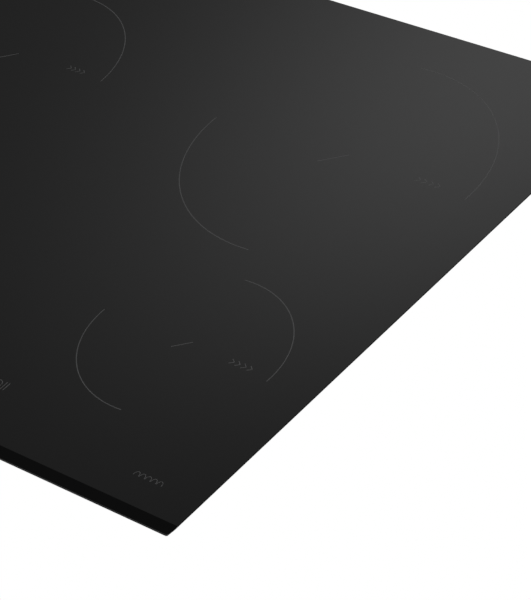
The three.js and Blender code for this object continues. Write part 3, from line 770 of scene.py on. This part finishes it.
def print_chevrons(ink, x, y, length, count=4):
    """A row of small arrowheads: the boost mark."""
    pitch = length / count
    for i in range(count):
        left = x - length / 2 + (i + 0.15) * pitch
        tip = left + 0.6 * pitch
        for end in (y - BOOST_HEIGHT / 2, y + BOOST_HEIGHT / 2):
            ink.stroke([(left, end), (tip, y)], 0.9 * STROKE)


def print_zone(name, zone, finish):
    """Two facing arcs, a tick across the middle and the boost mark at the right."""
    ink = Print()
    ink.arc(*zone["centre"], zone["radius"], *LEFT_ARC)
    ink.arc(*zone["right_centre"], zone["radius"], zone["right_start"], RIGHT_END)
    angle = math.radians(TICK_ANGLE)
    middle = Vector(zone["tick_at"])
    half = Vector((math.cos(angle), math.sin(angle))) * zone["tick"] / 2
    ink.stroke([middle - half, middle + half])
    print_chevrons(ink, *zone["boost_at"], zone["boost"])
    ink.piece("print_zone_" + name, finish)


def print_coil_sign(finish):
    """A small winding near the front right corner: the sign for induction."""
    ink = Print()
    half_circle = [math.pi * k / COIL_SIGN["steps"] for k in range(COIL_SIGN["steps"] + 1)]
    width = COIL_SIGN["half_width"]
    for i in range(COIL_SIGN["loops"]):
        middle = COIL_SIGN["left"] + (i + 0.5) * COIL_SIGN["pitch"]
        loop = [
            (middle + width * math.cos(a), COIL_SIGN["base"] + COIL_SIGN["height"] * math.sin(a))
            for a in half_circle
        ]
        ink.stroke(loop, COIL_SIGN["line"])
    ink.piece("print_coil_sign", finish)


def print_controls(finish):
    """The touch strip: signs for power, the four zones, a slider, a timer and a pause."""
    ink = Print()
    y, tall, line = CONTROLS["y"], CONTROLS["height"] / 2, CONTROLS["line"]
    power, timer, sign = CONTROLS["power"], CONTROLS["timer"], CONTROLS["sign"]
    ink.arc(power, y, sign, 120, 420, line)
    ink.stroke([(power, y + 0.4 * sign), (power, y + 1.3 * sign)], line)
    for i, (dx, dy) in enumerate(((-1, -1), (-1, 1), (1, 1), (1, -1))):
        x = CONTROLS["zones"] + i * CONTROLS["zone_pitch"]
        corners = [(x - sign, y - sign), (x + sign, y - sign), (x + sign, y + sign), (x - sign, y + sign)]
        for a, b in zip(corners, corners[1:] + corners[:1]):
            ink.stroke([a, b], line)
        ink.arc(x + 0.45 * sign * dx, y + 0.45 * sign * dy, 0.7, 5, 355, line)
    bars = [CONTROLS["slider"] + i * CONTROLS["bar_pitch"] for i in range(CONTROLS["bars"])]
    for x in (*bars, *CONTROLS["pause"]):
        ink.stroke([(x, y - tall), (x, y + tall)], line)
    ink.arc(timer, y, sign, 5, 355, line)
    ink.stroke([(timer, y + 0.6 * sign), (timer, y)], line)
    ink.piece("print_controls", finish)


# ---------------------------------------------------------------- wound wires


def wound_wire(name, centre, path, half_width, half_height, sides=8):
    """A wire wound round the upright axis through centre; its path is a list of angle, radius and height."""
    mesh = bmesh.new()
    section = [2 * math.pi * k / sides for k in range(sides)]
    rings = []
    for angle, radius, height in path:
        ring = []
        for side in section:
            out = radius + half_width * math.cos(side)
            up = height + half_height * math.sin(side)
            place = Vector((out * math.cos(angle), out * math.sin(angle), up))
            ring.append(mesh.verts.new(centre + place))
        rings.append(ring)
    for before, after in zip(rings, rings[1:]):
        for k in range(sides):
            n = (k + 1) % sides
            mesh.faces.new((before[k], before[n], after[n], after[k]))
    mesh.faces.new(rings[0])
    mesh.faces.new(rings[-1])
    bmesh.ops.recalc_face_normals(mesh, faces=mesh.faces)
    data = bpy.data.meshes.new(name)
    mesh.to_mesh(data)
    mesh.free()
    data.shade_smooth()
    data.set_sharp_from_angle(angle=math.radians(60))
    return data


def make_winding(zone, finish):
    """One flat spiral of litz wire, in the room that the CAD winding holds."""
    name, node = "litz_spiral_" + zone, "coil_winding_" + zone
    low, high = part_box(node)
    outer = (high.x - low.x) / 2
    wire = (high.z - low.z) / 2
    pitch = WINDING["pitch"] * wire
    inner = WINDING["inner"] * MM + wire
    turns = int((outer - wire - inner) / pitch)
    steps = WINDING["steps"]
    path = [(2 * math.pi * i / steps, inner + pitch * i / steps, 0) for i in range(turns * steps + 1)]
    data = wound_wire(name, (low + high) / 2, path, WINDING["fill"] * pitch, wire)
    piece = add_piece(name, data, finish, "root")
    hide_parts(node)


def make_spring(zone, finish):
    """The spring under one sensor: open coils between closed end turns."""
    name, node = "spring_coil_" + zone, "sensor_spring_" + zone
    low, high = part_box(node)
    wire = SPRING["wire"] * MM
    radius = (high.x - low.x) / 2 - wire
    tall = high.z - low.z
    rise = tall - 2 * wire
    closed = SPRING["closed"]
    # Height reached after a number of turns: the end turns lie wire on wire.
    flat = 2 * wire * closed
    stages = ((0, 0), (closed, flat), (SPRING["turns"] - closed, rise - flat), (SPRING["turns"], rise))
    path = []
    for i in range(int(SPRING["turns"] * SPRING["steps"]) + 1):
        turn = i / SPRING["steps"]
        for (start, base), (end, top) in zip(stages, stages[1:]):
            if start <= turn <= end:
                height = base + (top - base) * (turn - start) / (end - start)
        path.append((2 * math.pi * turn, radius, height))
    foot = Vector(((low.x + high.x) / 2, (low.y + high.y) / 2, low.z + wire))
    data = wound_wire(name, foot, path, wire, wire)
    piece = add_piece(name, data, finish, "root")
    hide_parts(node)
    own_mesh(piece)


# ---------------------------------------------------------------- CAD nodes


def smooth_shading(angle):
    """A node group that shades smooth but for edges sharper than an angle."""
    tree = bpy.data.node_groups.new("smooth_by_angle", "GeometryNodeTree")
    tree.interface.new_socket("Geometry", in_out="INPUT", socket_type="NodeSocketGeometry")
    tree.interface.new_socket("Geometry", in_out="OUTPUT", socket_type="NodeSocketGeometry")
    start = tree.nodes.new("NodeGroupInput")
    end = tree.nodes.new("NodeGroupOutput")
    faces = tree.nodes.new("GeometryNodeSetShadeSmooth")
    edges = tree.nodes.new("GeometryNodeSetShadeSmooth")
    edges.domain = "EDGE"
    bend = tree.nodes.new("GeometryNodeInputMeshEdgeAngle")
    compare = tree.nodes.new("FunctionNodeCompare")
    compare.operation = "LESS_THAN"
    compare.inputs["B"].default_value = angle
    link = tree.links.new
    link(start.outputs[0], faces.inputs["Geometry"])
    link(faces.outputs[0], edges.inputs["Geometry"])
    link(bend.outputs["Unsigned Angle"], compare.inputs["A"])
    link(compare.outputs[0], edges.inputs["Shade Smooth"])
    link(edges.outputs[0], end.inputs[0])
    return tree


def round_edges(node, width, shading):
    """Joins the triangles into flat faces, then rounds the edges, without touching the CAD mesh."""
    weld = node.modifiers.new("weld", "WELD")
    weld.merge_threshold = 0.005 * MM
    flat = node.modifiers.new("flat_faces", "DECIMATE")
    flat.decimate_type = "DISSOLVE"
    flat.angle_limit = math.radians(1)
    bevel = node.modifiers.new("edge_radius", "BEVEL")
    bevel.width = width * MM
    bevel.segments = 2
    bevel.limit_method = "ANGLE"
    bevel.angle_limit = math.radians(40)
    bevel.use_clamp_overlap = True
    bevel.harden_normals = False
    smooth = node.modifiers.new("shading", "NODES")
    smooth.node_group = shading
    weighted = node.modifiers.new("face_normals", "WEIGHTED_NORMAL")
    weighted.keep_sharp = True


def dress_cad_nodes(finishes):
    """Gives each CAD node the material of its slot, rounded edges and clean shading."""
    shading = smooth_shading(math.radians(38))
    slot_of = {part["node"]: part["material_slot"] for part in frame["record"]["subparts"]}
    for name, node in NODES.items():
        node.data.materials.clear()
        node.data.materials.append(finishes[slot_of[name]])
        round_edges(node, EDGE_RADIUS[slot_of[name]], shading)


# ---------------------------------------------------------------- build

make_camera()
make_floor()
make_world()
FINISH = make_materials()
dress_cad_nodes(FINISH)
make_glass(FINISH["black_glass"])
for zone_name, zone_values in ZONES.items():
    print_zone(zone_name, zone_values, FINISH["print_ink"])
    make_winding(zone_name, FINISH["copper"])
    make_spring(zone_name, FINISH["spring_steel"])
print_coil_sign(FINISH["print_ink"])
print_controls(FINISH["print_ink"])
make_lamps()
